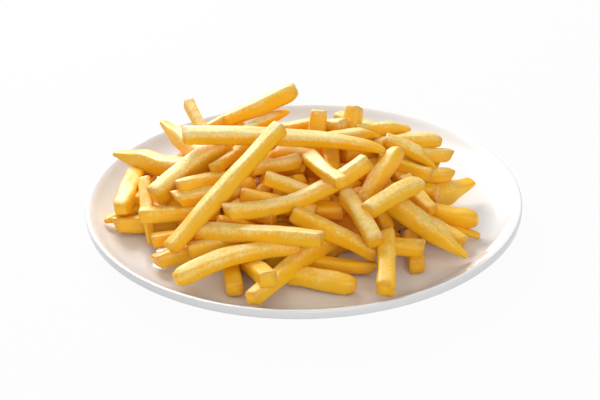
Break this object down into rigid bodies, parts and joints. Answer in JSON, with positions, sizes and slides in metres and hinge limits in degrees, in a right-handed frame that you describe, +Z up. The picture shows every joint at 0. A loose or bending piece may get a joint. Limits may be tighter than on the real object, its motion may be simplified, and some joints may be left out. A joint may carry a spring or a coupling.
{
  "type": "french fries portion",
  "caption": "Portion of thick-cut french fries heaped loosely on a round white coupe plate with a low upturned rim.",
  "frame": {"origin": "centre of the plate's foot ring, on the surface the plate stands on", "axes": "+Z up out of the plate, -Y towards the diner's side that the heap's long fries lean down to, +X to that diner's right"},
  "size_m": [0.26, 0.26, 0.0817],
  "materials": {
    "plate_glaze": "gloss white glaze",
    "fried_potato": "fried potato, soft satin with browned edges"
  },
  "bodies": {
    "root": {"plate": "plate_glaze", "fries_heap": "fried_potato"}
  },
  "joints": []
}
